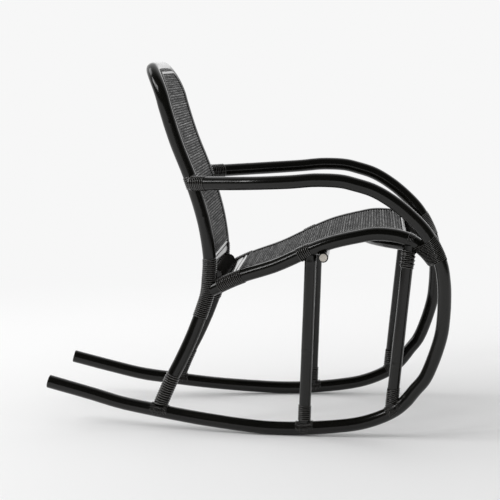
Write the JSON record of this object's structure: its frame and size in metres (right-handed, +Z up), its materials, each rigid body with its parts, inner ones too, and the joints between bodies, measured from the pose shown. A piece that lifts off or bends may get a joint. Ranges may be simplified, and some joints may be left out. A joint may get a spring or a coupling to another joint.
{
  "type": "rocking chair",
  "caption": "Armchair on curved rockers, of bent glossy black rattan poles, with woven cane back and seat panels and joints wound with cane strand.",
  "frame": {"origin": "centre of the footprint of the bounding box, on the floor", "axes": "+Z up, +X towards the front, where the sitter faces, +Y to the sitter's left"},
  "size_m": [0.8976, 0.6108, 0.8129],
  "materials": {
    "lacquered_pole": "glossy black lacquer",
    "wound_strand": "satin black lacquer",
    "woven_cane": "satin black lacquer over a fine weave",
    "screw_steel": "dull steel"
  },
  "bodies": {
    "root": {"arm_winding_left": "wound_strand", "arm_winding_right": "wound_strand", "back_edge_strip": "wound_strand", "back_hoop": "lacquered_pole", "back_panel": "woven_cane", "back_panel_bar": "lacquered_pole", "bow_brace": "lacquered_pole", "front_crossbar": "lacquered_pole", "front_foot_saddle_left": "wound_strand", "front_foot_saddle_right": "wound_strand", "front_foot_winding_left": "wound_strand", "front_foot_winding_right": "wound_strand", "front_leg_left": "lacquered_pole", "front_leg_right": "lacquered_pole", "front_leg_screw_left": "screw_steel", "front_leg_screw_right": "screw_steel", "front_leg_top_winding_left": "wound_strand", "front_leg_top_winding_right": "wound_strand", "front_winding_left": "wound_strand", "front_winding_right": "wound_strand", "middle_crossbar": "lacquered_pole", "middle_foot_saddle_left": "wound_strand", "middle_foot_saddle_right": "wound_strand", "middle_foot_winding_left": "wound_strand", "middle_foot_winding_right": "wound_strand", "middle_leg_left": "lacquered_pole", "middle_leg_right": "lacquered_pole", "middle_leg_screw_left": "screw_steel", "middle_leg_screw_right": "screw_steel", "post_winding_left": "wound_strand", "post_winding_right": "wound_strand", "rail_middle_winding_left": "wound_strand", "rail_middle_winding_right": "wound_strand", "rail_rear_winding_left": "wound_strand", "rail_rear_winding_right": "wound_strand", "rear_crossbar": "lacquered_pole", "rear_foot_saddle_left": "wound_strand", "rear_foot_saddle_right": "wound_strand", "rear_foot_winding_left": "wound_strand", "rear_foot_winding_right": "wound_strand", "rear_leg_left": "lacquered_pole", "rear_leg_right": "lacquered_pole", "rear_leg_screw_left": "screw_steel", "rear_leg_screw_right": "screw_steel", "scarf_winding_left": "wound_strand", "scarf_winding_right": "wound_strand", "seat_edge_strip_left": "wound_strand", "seat_edge_strip_right": "wound_strand", "seat_front_bar": "lacquered_pole", "seat_panel": "woven_cane", "seat_rail_left": "lacquered_pole", "seat_rail_right": "lacquered_pole", "seat_rear_bar": "lacquered_pole", "side_pole_left": "lacquered_pole", "side_pole_right": "lacquered_pole"}
  },
  "joints": []
}
